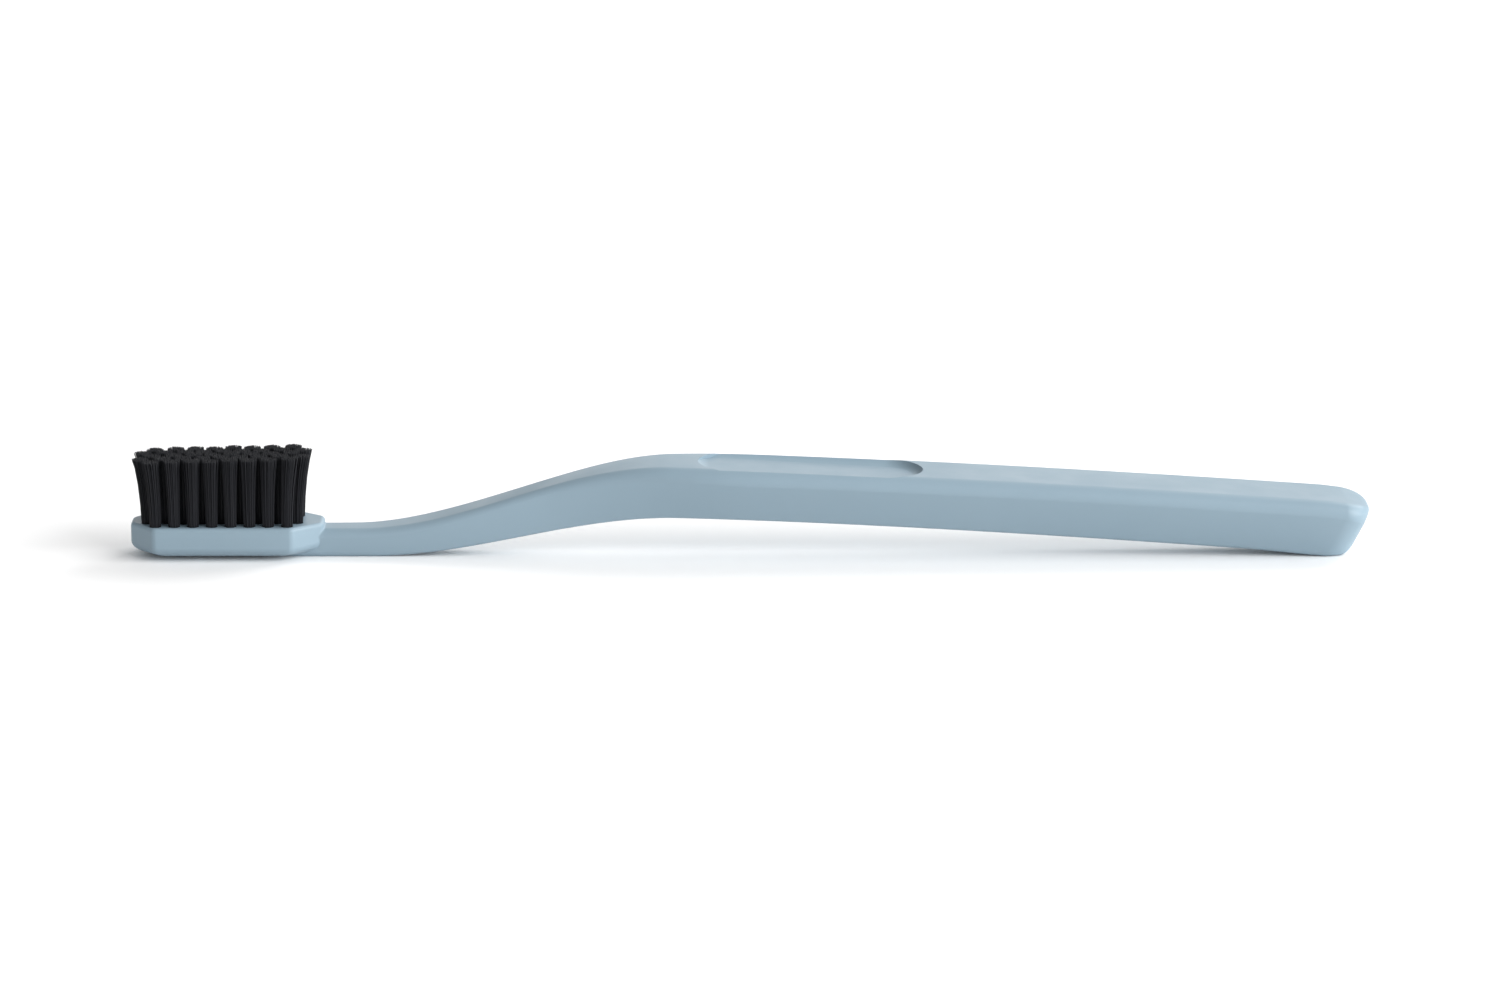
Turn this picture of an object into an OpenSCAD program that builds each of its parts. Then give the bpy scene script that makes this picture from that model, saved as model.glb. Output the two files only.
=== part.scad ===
// Manual toothbrush, lying on its back with the bristles up.
// The origin is on the table under the middle of the brush. +X runs from the head to the end of
// the grip, +Y runs across the brush and +Z is up.

/* [Brush] */
// Length of the whole brush, from the tip of the head to the end of the grip
brush_l = 190; // [184:1:200]

/* [Head] */
// Length of the head
head_l = 29.6; // [28.4:0.2:32]
// Width of the head
head_w = 12; // [11.6:0.2:13.4]
// Height above the table of the face that the bristles stand on
head_h = 5.4; // [5.2:0.1:6.2]
// Gap between the table and the lowest point of the head's own underside
head_gap = 0.4; // [0.2:0.1:0.7]
// Width of the blunt end at the tip
tip_w = 3.5; // [2.8:0.1:4.5]
// Length over which the head narrows to its tip
tip_taper_l = 3.7; // [3:0.1:4]
// Width of the blunt end at the neck
root_w = 4.5; // [4:0.1:5.2]
// Length over which the head narrows to the neck
root_taper_l = 4.7; // [4:0.1:5.2]
// Radius of the head's upright corners
head_corner_r = 1.3; // [0.9:0.1:1.6]
// Radius round the edge of the bristle face
head_edge_r = 0.6; // [0.3:0.1:0.8]
// Height of the rounding of the head's underside
belly_h = 2; // [1.6:0.1:2.3]
// How far the rounding of the underside reaches in from the side
belly_in = 3.6; // [3:0.1:4.2]

/* [Neck] */
// Width of the neck
neck_w = 6.6; // [6:0.1:7.4]
// Width of the neck's underside, out to its rounded edges
neck_base_w = 5.4; // [5:0.1:5.8]
// Thickness of the neck where it leaves the head
neck_t = 4.2; // [3.9:0.1:4.6]
// Length of the neck, from the head to the crest of the shoulder
neck_l = 53.4; // [50:0.2:58]
// Length of the neck's underside that lies flat on the table past the head
neck_foot_l = 7.4; // [6:0.2:9]
// Length of the neck's top that stays level past the head
neck_level_l = 5; // [3:0.2:7]
// Distance from the head to where the neck starts to widen
flare_in = 31.4; // [28:0.2:34]
// Length over which the neck widens to the grip
flare_l = 34; // [30:1:38]
// Radius along the upper edges of the neck
neck_edge_r = 1.1; // [0.8:0.1:1.4]
// Radius along the lower edges of the neck
neck_base_r = 0.9; // [0.6:0.1:1.1]
// Width of the rounding of the upper edges where the neck leaves the head
root_edge_w = 2.2; // [1.6:0.1:2.6]
// Length of neck over which that rounding tightens
root_edge_l = 20; // [12:1:26]
// How far the neck's underside runs on under the head
spine_l = 14; // [11:0.5:16]

/* [Grip] */
// Height of the shoulder above the table
shoulder_h = 14.6; // [13.6:0.1:15.6]
// Height of the arch under the shoulder
arch_h = 6.1; // [5.4:0.1:6.8]
// Width of the grip
grip_w = 13.2; // [12.4:0.2:14.4]
// Width of the grip's underside, out to its rounded edges
grip_base_w = 7.4; // [6.6:0.2:8.4]
// Height of the grip's top at its far end
tail_h = 8.9; // [8.4:0.1:9.6]
// Radius along the upper edges of the grip
grip_edge_r = 1.8; // [1.4:0.1:2.2]
// Radius along the lower edges of the grip
grip_base_r = 1.2; // [0.9:0.1:1.5]
// Radius of the upright corners at the end of the grip
tail_corner_r = 3.9; // [3.2:0.1:4.4]
// Height of the rounding of the upper edge at the end of the grip
tail_top_drop = 1.6; // [1.2:0.1:2]
// Length of that rounding along the grip
tail_top_l = 7; // [5:0.2:8]
// Radius of the lower edge at the end of the grip
tail_base_r = 1.5; // [1.2:0.1:1.8]
// Slope of the end of the grip, in degrees from upright
tail_draft = 22; // [10:1:24]

/* [Thumb rest] */
// Width of the thumb rest
thumb_w = 11.8; // [11:0.2:12]
// Distance from the shoulder to the end wall of the thumb rest
thumb_end_in = 38.6; // [34:0.2:44]
// Length of the thumb rest, between its two round ends
thumb_l = 34.6; // [34:0.1:35.4]
// Length of its flat floor, from the ramp at the shoulder to the end wall
thumb_floor_l = 32.4; // [31.4:0.1:33]
// Depth of the thumb rest at its end wall
thumb_depth = 1.05; // [0.9:0.05:1.3]
// Slope of the floor down towards the end of the grip, in degrees
thumb_slope = 3.2; // [2.9:0.1:3.6]
// Radius of the ramp that leads from the shoulder down to the floor
thumb_ramp_r = 4; // [3:0.5:8]
// Radius between the floor and its walls
thumb_fillet_r = 0.8; // [0.5:0.1:1]

/* [Bristles] */
// Length of the bristles above the head
bristle_l = 10.4; // [9:0.1:12]
// Diameter of the holes that the tufts are pressed into
hole_d = 1.7; // [1.5:0.05:1.8]
// Depth of those holes
hole_depth = 3; // [2.8:0.1:3.2]
// Diameter of a tuft at its trimmed end
tuft_top_d = 2.35; // [2.1:0.05:2.45]
// Distance from the tip of the head to the middle of the first tuft
tip_margin = 2.6; // [2.4:0.1:2.8]
// Distance from the middle of the last tuft to the end of the head at the neck
root_margin = 4; // [3.8:0.1:4.4]
// Distance from the side of the head to the middle of the outer row
side_margin = 1.6; // [1.5:0.1:1.7]
// How far the first and last tufts lean out at their tops
end_lean = 0.95; // [0:0.05:1]
// How far the tufts of the outer rows lean in at their tops
side_lean = 0.35; // [0:0.05:0.5]
// How much higher the bristles are trimmed at the neck than at the tip
trim_rise = 0.5; // [0:0.1:0.7]
// How much the heights of the trimmed tufts vary, up and down
trim_wave = 0.08; // [0:0.02:0.12]
// Thickness of one strand, corner to corner
strand_d = 0.4; // [0.3:0.02:0.42]
// Clearance of the root of a tuft in its hole
tuft_clearance = 0.02; // [0.01:0.01:0.03]

/* [Anchors] */
// Thickness of an anchor's flat wire
anchor_t = 0.3; // [0.25:0.01:0.35]
// Height of an anchor
anchor_h = 1.5; // [1.3:0.05:1.6]
// How far each end of an anchor bites into the wall of the hole
anchor_bite = 0.2; // [0.15:0.01:0.25]
// Room under an anchor for the fold of the bristles
fold_h = 0.45; // [0.35:0.05:0.6]
// Clearance all round an anchor
anchor_clearance = 0.02; // [0.01:0.01:0.03]

/* [Hidden] */
// Rows of tufts across the head, tufts in a long row, and strands in a tuft
row_count = 5;
long_row = 9;
strand_count = 10;
strand_sides = 4;
// Where a strand bends, as shares of its free length
strand_bend_shares = [0, 0.45, 1];
// How deep a strand is fused with the root of its tuft, as a share of the hole's depth
strand_sink_share = 0.15;
// Radius of the ring that the strands stand on, as a share of the root's radius
strand_ring_share = 0.66;
// Turn from one tuft to the next, and from one row to the next, in degrees
tuft_turn = 11;
row_turn = 137;
// Where the spine under the head reaches the table, as a share of its length
spine_fall_share = 0.6;
// How the fall of the grip builds up along it, where 1 would be a straight line
grip_curve = 1.35;
// Length over which the sections lean over to the slope of the end
lean_l = 16;
// Arc of the ramp into the thumb rest, which ends well above the shoulder
ramp_arc = 60;
// Height of the space that cuts the thumb rest
thumb_cut_h = 2;
// How far every cutter reaches past what it cuts, and how far the parts of one cutter lap over
overrun = 3;
lap = 0.05;
// Steps round an edge of the shaft, and round a corner, the rim and the underside of the head
edge_steps = 6;
corner_steps = 4;
rim_steps = 4;
belly_steps = 7;
// Rings along the straight neck, the bend, the grip and its rounded end
neck_rings = 8;
rise_rings = 28;
grip_rings = 22;
tail_rings = 9;
$fn = 48;

// Places along the brush, measured from the tip of the head
spine_at = head_l - spine_l;
top_rise_at = head_l + neck_level_l;
base_rise_at = head_l + neck_foot_l;
crest_at = head_l + neck_l;
flare_at = head_l + flare_in;
tail_at = brush_l - tail_corner_r;
thumb_end_at = crest_at + thumb_end_in;
tip_x = -brush_l / 2;

// Layout of the tufts
tuft_pitch = (head_l - tip_margin - root_margin) / (long_row - 1);
row_pitch = (head_w - 2 * side_margin) / (row_count - 1);
field_half_l = (long_row - 1) * tuft_pitch / 2;
field_half_w = (row_count - 1) * row_pitch / 2;
field_x = tip_x + tip_margin + field_half_l;
middle_row = (row_count + 1) / 2;
hole_floor_z = head_h - hole_depth;
root_r = hole_d / 2 - tuft_clearance;
// Half the width of a strand across its flats, and the circle that the tops of the strands stand on
strand_half = strand_d / 2 * cos(180 / strand_sides);
strand_top_r = sqrt(pow(tuft_top_d / 2, 2) - strand_half * strand_half) - strand_half;

function row_tufts(row) = row % 2 == 1 ? long_row - 1 : long_row;
function tuft_place(row, number) = [
    field_x + (number - (row_tufts(row) + 1) / 2) * tuft_pitch,
    (row - middle_row) * row_pitch
];
function tuft_name(row, number) = str("tuft_row", row, "_no", number);
function anchors_name(row) = str("anchors_row", row);

// A share of the way from one value to another, and a smooth step from 0 to 1 between two places
function between(low, high, share) = low + (high - low) * share;
function ease(at, from, to) =
    let (share = max(0, min(1, (at - from) / (to - from))))
    share * share * (3 - 2 * share);

// Triangles of a closed tube whose rings have as many points each, seen turning left from its end
function tube_faces(rings, points) =
    let (last = (rings - 1) * points)
    concat(
        [for (i = [1:points - 2]) [0, i, i + 1]],
        [for (i = [1:points - 2]) [last, last + i + 1, last + i]],
        [
            for (ring = [0:rings - 2]) for (i = [0:points - 1])
            let (low = ring * points, high = low + points, next = (i + 1) % points)
            each [[low + next, low + i, high + i], [low + next, high + i, high + next]]
        ]
    );
module tube(rings) {
    points = [for (ring = rings) each ring];
    polyhedron(points, tube_faces(len(rings), len(rings[0])), convexity = 6);
}

// Plan of the head: an octagon, turning left from the tip
head_corners = [
    [-head_l / 2, -tip_w / 2],
    [tip_taper_l - head_l / 2, -head_w / 2],
    [head_l / 2 - root_taper_l, -head_w / 2],
    [head_l / 2, -root_w / 2],
    [head_l / 2, root_w / 2],
    [head_l / 2 - root_taper_l, head_w / 2],
    [tip_taper_l - head_l / 2, head_w / 2],
    [-head_l / 2, tip_w / 2]
];
function edge_normal(a, b) = let (along = (b - a) / norm(b - a)) [along.y, -along.x];
// The plan with its corners rounded, drawn in by inset
function head_outline(inset) = [
    for (i = [0:len(head_corners) - 1])
    let (
        corner = head_corners[i],
        before = edge_normal(head_corners[(i + 7) % 8], corner),
        after = edge_normal(corner, head_corners[(i + 1) % 8]),
        middle = corner - head_corner_r * (before + after) / (1 + before * after),
        start = atan2(before.y, before.x),
        turn = acos(before * after)
    )
    for (step = [0:corner_steps])
    let (angle = start + turn * step / corner_steps)
    middle + (head_corner_r - inset) * [cos(angle), sin(angle)]
];
function at_height(outline, z) = [for (p = outline) [p.x, p.y, z]];

// Blunt plate with a rounded underside, like the bottom of a boat
module head_plate() {
    outline = head_outline(0);
    belly = [
        for (step = [0:belly_steps])
        let (
            angle = 90 * step / belly_steps,
            drawn_in = belly_in * (1 - sin(angle)),
            shrink = [1 - 2 * drawn_in / head_l, 1 - 2 * drawn_in / head_w]
        )
        [
            for (p = outline)
            [p.x * shrink.x, p.y * shrink.y, head_gap + belly_h * (1 - cos(angle))]
        ]
    ];
    rim = [
        for (step = [0:rim_steps])
        let (angle = 90 * step / rim_steps)
        at_height(
            head_outline(head_edge_r * (1 - cos(angle))),
            head_h - head_edge_r * (1 - sin(angle))
        )
    ];
    translate([tip_x + head_l / 2, 0, 0])
        tube(concat(belly, rim));
}

// Lines of the shaft, by distance from the tip of the head
function fall(at, to) = pow((at - crest_at) / (to - crest_at), grip_curve);
function top_z(at) = at < crest_at
    ? between(neck_t, shoulder_h, ease(at, top_rise_at, crest_at))
    : between(shoulder_h, tail_h, fall(at, brush_l));
function base_z(at) = at < base_rise_at
    ? head_gap * (1 - ease(at, spine_at, between(spine_at, head_l, spine_fall_share)))
    : at < crest_at ? arch_h * ease(at, base_rise_at, crest_at)
    : at < tail_at ? arch_h * (1 - fall(at, tail_at))
    : 0;
function flare(at) = ease(at, flare_at, flare_at + flare_l);

// How far a rounding of a length and height has dropped away, at a distance inside the end
function end_drop(inside, length, height) = inside < length
    ? height * (1 - sqrt(1 - pow(1 - inside / length, 2)))
    : 0;

function section_arc(y, z, ry, rz, from, to) = [
    for (step = [0:edge_steps])
    let (angle = between(from, to, step / edge_steps))
    [y + ry * cos(angle), z + rz * sin(angle)]
];
// Section across the shaft: flat top, sides that lean in towards the base, and rounded edges
function shaft_section(w, base_w, top, base, edge_w, edge_h, base_r) =
    let (
        y = w / 2 - edge_w,
        z = top - edge_h,
        base_y = base_w / 2 - base_r,
        base_edge_z = base + base_r,
        lean = atan((w - base_w) / 2 / (z - base_edge_z))
    )
    concat(
        section_arc(y, z, edge_w, edge_h, -lean, 90),
        section_arc(-y, z, edge_w, edge_h, 90, 180 + lean),
        section_arc(-base_y, base_edge_z, base_r, base_r, 180 + lean, 270),
        section_arc(base_y, base_edge_z, base_r, base_r, 270, 360 - lean)
    );
// One ring of the shaft. Near the end of the grip it narrows, its edges drop and it leans over
function shaft_ring(at, narrowing) =
    let (
        inside = brush_l - at,
        share = 1 - 2 * narrowing / grip_w,
        root_share = ease(at, head_l, head_l + root_edge_l),
        section = shaft_section(
            between(neck_w, grip_w, flare(at)) * share,
            between(neck_base_w, grip_base_w, flare(at)) * share,
            top_z(at) - end_drop(inside, tail_top_l, tail_top_drop),
            base_z(at) + end_drop(inside, tail_base_r, tail_base_r),
            between(between(root_edge_w, neck_edge_r, root_share), grip_edge_r, flare(at)),
            between(neck_edge_r, grip_edge_r, flare(at)),
            between(neck_base_r, grip_base_r, flare(at))
        ),
        lean = tan(tail_draft) * ease(at, tail_at - lean_l, tail_at),
        end_top_z = tail_h - tail_top_drop
    )
    [for (p = section) [tip_x + at - lean * max(0, end_top_z - p.y), p.x, p.y]];

// Neck, shoulder and grip in one loft, from inside the head to the rounded end
module shaft() {
    tube([
        for (i = [0:neck_rings - 1])
        shaft_ring(between(spine_at, base_rise_at, i / neck_rings), 0),
        for (i = [0:rise_rings - 1])
        shaft_ring(between(base_rise_at, crest_at, i / rise_rings), 0),
        for (i = [0:grip_rings - 1])
        shaft_ring(between(crest_at, tail_at, i / grip_rings), 0),
        for (i = [0:tail_rings])
        let (angle = 90 * i / tail_rings)
        shaft_ring(tail_at + tail_corner_r * sin(angle), tail_corner_r * (1 - cos(angle)))
    ]);
}

// Half of the section that the thumb rest is cut with: flat floor, fillet and upright wall
thumb_half = concat(
    [[0, 0]],
    [
        for (step = [0:edge_steps])
        let (angle = 90 * step / edge_steps)
        [
            thumb_w / 2 - thumb_fillet_r * (1 - sin(angle)),
            thumb_fillet_r * (1 - cos(angle))
        ]
    ],
    [[thumb_w / 2, thumb_cut_h], [0, thumb_cut_h]]
);
module thumb_section() {
    polygon(thumb_half);
    mirror([1, 0]) polygon(thumb_half);
}
// Plan that rounds the thumb rest's end at the shoulder, a little wider than its walls
module thumb_nose() {
    nose_r = thumb_w / 2 + lap;
    translate([thumb_w - thumb_l, 0]) {
        circle(nose_r);
        translate([0, -nose_r]) square([thumb_l, 2 * nose_r]);
    }
}
// The thumb rest's space: a round end, a flat floor, and a ramp up to the shoulder under a round nose
module thumb_space() {
    straight_l = thumb_floor_l - thumb_w / 2;
    translate([tip_x + thumb_end_at, 0, top_z(thumb_end_at) - thumb_depth])
    rotate([0, thumb_slope, 0])
    translate([-thumb_w / 2, 0, 0]) {
        rotate_extrude() polygon(thumb_half);
        intersection() {
            translate([-straight_l, 0, 0]) {
                translate([-lap, 0, 0])
                rotate([90, 0, 90])
                    linear_extrude(straight_l + lap) thumb_section();
                translate([0, 0, thumb_ramp_r])
                rotate([90, 0, 0])
                rotate([0, 0, -90 - ramp_arc])
                rotate_extrude(angle = ramp_arc)
                    translate([thumb_ramp_r, 0]) rotate(90) thumb_section();
            }
            translate([0, 0, -overrun]) linear_extrude(2 * overrun) thumb_nose();
        }
    }
}

// Space that an anchor takes up in its hole and in the hole's wall
module anchor_slot() {
    size = [hole_d + 2 * anchor_bite, anchor_t, anchor_h];
    room = size + 2 * anchor_clearance * [1, 1, 1];
    translate([-room.x / 2, -room.y / 2, hole_floor_z + fold_h - anchor_clearance])
        cube(room);
}
module tuft_hole() {
    translate([0, 0, hole_floor_z]) cylinder(h = hole_depth + overrun, d = hole_d);
    anchor_slot();
}

// The one moulding: head, neck, shoulder, thumb rest and grip
module handle() {
    color([0.62, 0.71, 0.78])
    difference() {
        union() {
            head_plate();
            shaft();
        }
        for (row = [1:row_count]) for (number = [1:row_tufts(row)])
            translate(tuft_place(row, number)) tuft_hole();
        thumb_space();
    }
}

// How far a tuft leans at its top, along and across, and the height that it is trimmed to
function tuft_lean(place) = [
    end_lean * pow((place.x - field_x) / field_half_l, 3),
    -side_lean * place.y / field_half_w
];
function trim_z(place, row, number) = head_h + bristle_l
    + trim_rise * (place.x - field_x) / field_half_l / 2
    + trim_wave * cos(number * row_turn + abs(row - middle_row) * tuft_turn);

// One strand: it leaves the root upright and spreads away from the middle of its tuft
module strand(direction, turn, lean, top) {
    sink = strand_sink_share * hole_depth;
    tube([
        for (share = strand_bend_shares)
        let (
            ring_r = between(root_r * strand_ring_share, strand_top_r, share),
            x = direction.x * ring_r + lean.x * share * share,
            y = direction.y * ring_r + lean.y * share * share,
            z = share == 0 ? head_h - sink : between(head_h, top, share)
        )
        [
            for (side = [0:strand_sides - 1])
            let (angle = turn + (side + 0.5) * 360 / strand_sides)
            [x + strand_d / 2 * cos(angle), y + strand_d / 2 * sin(angle), z]
        ]
    ]);
}
// One tuft of bristles with its root, which fills the hole and is folded round the anchor
module tuft(row, number) {
    place = tuft_place(row, number);
    top = trim_z(place, row, number);
    first = (row - middle_row) * number * tuft_turn;
    color([0.1, 0.1, 0.12])
    translate(place) {
        difference() {
            translate([0, 0, hole_floor_z + tuft_clearance])
                cylinder(h = hole_depth - tuft_clearance, r = root_r);
            anchor_slot();
        }
        strand([0, 0], first, tuft_lean(place), top);
        for (i = [1:strand_count - 1])
            let (angle = first + i * 360 / (strand_count - 1))
                strand([cos(angle), sin(angle)], angle, tuft_lean(place), top);
    }
}

// One row of anchors: flat bits of wire, each across the fold of its tuft
module anchors(row) {
    length = hole_d + 2 * anchor_bite;
    color([0.78, 0.76, 0.72])
    for (number = [1:row_tufts(row)])
        translate(tuft_place(row, number))
        translate([-length / 2, -anchor_t / 2, hole_floor_z + fold_h])
            cube([length, anchor_t, anchor_h]);
}

handle();
for (row = [1:row_count]) for (number = [1:row_tufts(row)])
    tuft(row, number);
for (row = [1:row_count])
    anchors(row);
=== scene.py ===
# %% [markdown]
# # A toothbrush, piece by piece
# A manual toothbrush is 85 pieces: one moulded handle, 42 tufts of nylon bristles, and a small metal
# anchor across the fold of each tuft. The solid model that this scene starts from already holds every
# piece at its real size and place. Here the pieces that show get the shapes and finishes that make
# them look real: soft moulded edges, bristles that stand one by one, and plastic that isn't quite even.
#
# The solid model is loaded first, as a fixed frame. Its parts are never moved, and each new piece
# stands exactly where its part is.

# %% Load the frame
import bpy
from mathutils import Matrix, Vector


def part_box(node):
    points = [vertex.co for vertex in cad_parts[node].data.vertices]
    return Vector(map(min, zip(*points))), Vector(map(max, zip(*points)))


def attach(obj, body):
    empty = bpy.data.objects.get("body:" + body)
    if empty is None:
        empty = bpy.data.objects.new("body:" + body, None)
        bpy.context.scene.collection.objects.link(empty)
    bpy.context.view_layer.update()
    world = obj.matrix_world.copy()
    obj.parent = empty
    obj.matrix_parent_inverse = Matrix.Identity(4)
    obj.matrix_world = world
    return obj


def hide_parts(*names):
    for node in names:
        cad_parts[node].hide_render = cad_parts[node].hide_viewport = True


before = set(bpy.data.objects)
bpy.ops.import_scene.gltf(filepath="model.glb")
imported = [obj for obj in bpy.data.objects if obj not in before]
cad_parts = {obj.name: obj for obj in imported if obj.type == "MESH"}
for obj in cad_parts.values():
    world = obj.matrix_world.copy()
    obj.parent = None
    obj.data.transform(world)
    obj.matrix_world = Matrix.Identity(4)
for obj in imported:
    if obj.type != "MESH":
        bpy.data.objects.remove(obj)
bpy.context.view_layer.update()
print("parts in the frame:", len(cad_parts))

# %% Bring in Blender's modules and some mathematics
import random
from math import atan, atan2, cos, pi, radians, sin, sqrt, tan

import bmesh
import bpy
from mathutils import Vector

print("made with Blender", bpy.app.version_string)

# %% [markdown]
# Millimetres are the natural unit for something as small as a brush, and modelling tools behave better
# near a size of one than near a thousandth. So every piece is modelled with one unit to the millimetre,
# and shrunk to real metres as the very last step, with the scale applied to its mesh. The overall
# sizes are read from the frame, so that the new handle fills the same space as the solid one.

# %% Sizes that the whole brush shares, in millimetres
mm = 0.001
handle_low, handle_high = (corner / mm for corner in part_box("handle"))
tip_x = handle_low.x
brush_l = handle_high.x - handle_low.x
grip_w = handle_high.y - handle_low.y
shoulder_h = handle_high.z
head_l = 29.6
head_w = 12
head_h = 5.4


def rounded(lengths, unit=1):
    """Lengths in a unit, rounded for printing."""
    return [round(length / unit, 2) for length in lengths]


print("handle, length, width and height:", rounded((brush_l, grip_w, shoulder_h)))

# %% [markdown]
# An operator works on whatever is selected, so selection comes first. The loaded parts arrive selected,
# and a new primitive is selected all over. So one piece is picked at a time, with everything else
# deselected, before it is changed. A piece that is shaped by numbers should also have its place in its
# mesh and not in its object, so its transform is applied as soon as it is added.

# %% One piece at a time
def alone(piece):
    """Selects one piece and nothing else."""
    bpy.ops.object.select_all(action="DESELECT")
    piece.select_set(True)
    bpy.context.view_layer.objects.active = piece


def settle(piece):
    """Moves a piece's place, turn and scale into its mesh, and leaves its object at the origin."""
    alone(piece)
    bpy.ops.object.transform_apply(location=True, rotation=True, scale=True)


def edit(piece):
    """Enters edit mode on one piece."""
    alone(piece)
    bpy.ops.object.mode_set(mode="EDIT")


def leave_edit():
    """Goes back to object mode, which writes the changes to the mesh."""
    bpy.ops.object.mode_set(mode="OBJECT")


print("parts that arrive selected:", sum(part.select_get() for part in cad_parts.values()))

# %% [markdown]
# By hand, vertices, edges and faces are picked by eye. A script picks them by where they are or by
# which way they face, with a small test on each.

# %% Pick parts of a mesh by a test
def place_of(part):
    """The middle of a vertex, an edge or a face."""
    if isinstance(part, bmesh.types.BMVert):
        return part.co
    if isinstance(part, bmesh.types.BMEdge):
        return (part.verts[0].co + part.verts[1].co) / 2
    return part.calc_center_median()


def select_where(kind, test):
    """In edit mode, selects the vertices, edges or faces that pass a test, and says how many."""
    bpy.ops.mesh.select_mode(type=kind)
    bpy.ops.mesh.select_all(action="DESELECT")
    mesh = bmesh.from_edit_mesh(bpy.context.edit_object.data)
    parts = {"VERT": mesh.verts, "EDGE": mesh.edges, "FACE": mesh.faces}[kind]
    chosen = [part for part in parts if test(part)]
    for part in chosen:
        part.select_set(True)
    mesh.select_flush_mode()
    bmesh.update_edit_mesh(bpy.context.edit_object.data)
    return len(chosen)


def select_at(kind, test):
    """The same, with a test on the middle of each."""
    return select_where(kind, lambda part: test(place_of(part)))


print("parts of a mesh can now be picked by place or by facing")

# %% [markdown]
# ## The handle
# The real handle is one injection moulding: head, neck, shoulder, thumb rest and grip in one shot of
# plastic. Its section changes all the way along, but it is always the same kind of section: a flat top
# with rounded edges, sides that lean in, and a narrower rounded base. A box with subdivision surfaces
# could be pulled into that shape, but its sizes would then be a matter of luck. So the handle is
# lofted, as a boat hull is: half a circle becomes the first rib, each further rib is extruded from the
# one before, and its rounded edges are moved and resized as whole groups. A mirror makes the other half.
#
# The section has one set of sizes along the neck and another along the grip. Where the neck leaves the
# head it has a third: there it is narrower, its sides are nearly upright and its edges are softer, so
# that it runs into the sloping end of the head.

# %% Sizes of the section
neck_w = 6.6
neck_base_w = 5.4
neck_t = 4.4
neck_edge_r = 1.1
neck_base_r = 0.9
root_w = 5.6
root_edge_w = 1.4
root_side_w = 0.17
root_base_h = 1.8
root_l = 20
grip_base_w = 7.4
grip_edge_r = 1.8
grip_base_r = 1.2
print("width of the neck:", neck_w, "and of its root:", root_w)

# %% [markdown]
# Seen from the side, the handle runs between two lines. The top is level along the neck, climbs to the
# crest of the shoulder and falls slowly to the end of the grip. The underside rests on the table under
# the neck, arches up to the shoulder and comes down again at the far end. Both could be drawn as curves
# for a modifier to follow. As formulas they are easier to keep in step: a smooth step does for each
# climb, and a power for the slow fall.

# %% Lines along the handle, by distance from the tip
arch_h = 6.1
tail_h = 8.9
tail_corner_r = 3.9
head_gap = 0.4
grip_curve = 1.35
spine_at = 15.6
spine_end_at = 24
top_rise_at = 34.6
base_rise_at = 37
crest_at = 83
tail_at = brush_l - tail_corner_r


def ease(at, start, end):
    """A smooth step from 0 to 1 between two places."""
    share = max(0, min(1, (at - start) / (end - start)))
    return share * share * (3 - 2 * share)


def between(low, high, share):
    """The number that lies a share of the way from low to high."""
    return low + (high - low) * share


def fall(at, end):
    """How far the grip has dropped from the crest of the shoulder, from 0 to 1."""
    return ((at - crest_at) / (end - crest_at)) ** grip_curve


def top_z(at):
    """Height of the top at a distance from the tip."""
    if at < crest_at:
        return between(neck_t, shoulder_h, ease(at, top_rise_at, crest_at))
    return between(shoulder_h, tail_h, fall(at, brush_l))


def base_z(at):
    """The brush lies on a white table in a bright white room, where all sides get some light."""
    if at < base_rise_at:
        return head_gap * (1 - ease(at, spine_at, spine_end_at))
    if at < crest_at:
        return arch_h * ease(at, base_rise_at, crest_at)
    return arch_h * (1 - fall(at, tail_at)) if at < tail_at else 0


print("underside and top at the crest:", rounded((base_z(crest_at), top_z(crest_at))))

# %% [markdown]
# A rib is described by its top, its base and three rounded edges. The upper edge rounds the top into
# the side, the side edge goes on below it to where the side is flat, and the lower edge rounds the side
# into the base. Each has a centre, a width and a height. Along most of the handle the upper and the
# side edge are one round. At the root of the neck they aren't: there the upper edge is wide and the
# side edge thin. They still meet upright, so the skin has no kink between them.

# %% Shape of one rib
flare_at = 61
flare_l = 34
tail_top_drop = 1.6
tail_top_l = 7
tail_base_r = 1.5
round_edges = ("upper edge", "side edge", "lower edge")


def end_drop(inside, length, height):
    """How far a rounded end has curved away, at a distance inside the end."""
    return height * (1 - sqrt(1 - (1 - inside / length) ** 2)) if inside < length else 0


def rib(at, narrowing=0):
    """Where one rib's top, base and rounded edges are: each edge by its centre and its radii."""
    past_root = ease(at, head_l, head_l + root_l)
    width = ease(at, flare_at, flare_at + flare_l)
    share = 1 - 2 * narrowing / grip_w
    edge_w = between(between(root_edge_w, neck_edge_r, past_root), grip_edge_r, width)
    edge_h = between(neck_edge_r, grip_edge_r, width)
    side_w = between(between(root_side_w, neck_edge_r, past_root), grip_edge_r, width)
    base_r = between(neck_base_r, grip_base_r, width)
    base_h = between(between(root_base_h, neck_base_r, past_root), grip_base_r, width)
    top = top_z(at) - end_drop(brush_l - at, tail_top_l, tail_top_drop)
    base = base_z(at) + end_drop(brush_l - at, tail_base_r, tail_base_r)
    half_w = between(between(root_w, neck_w, past_root), grip_w, width) * share / 2
    half_base_w = between(neck_base_w, grip_base_w, width) * share / 2
    return {
        "x": tip_x + at,
        "top": top,
        "base": base,
        "upper edge": (half_w - edge_w, top - edge_h, edge_w, edge_h),
        "side edge": (half_w - side_w, top - edge_h, side_w, edge_h),
        "lower edge": (half_base_w - base_r, base + base_h, base_r, base_h),
    }


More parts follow.
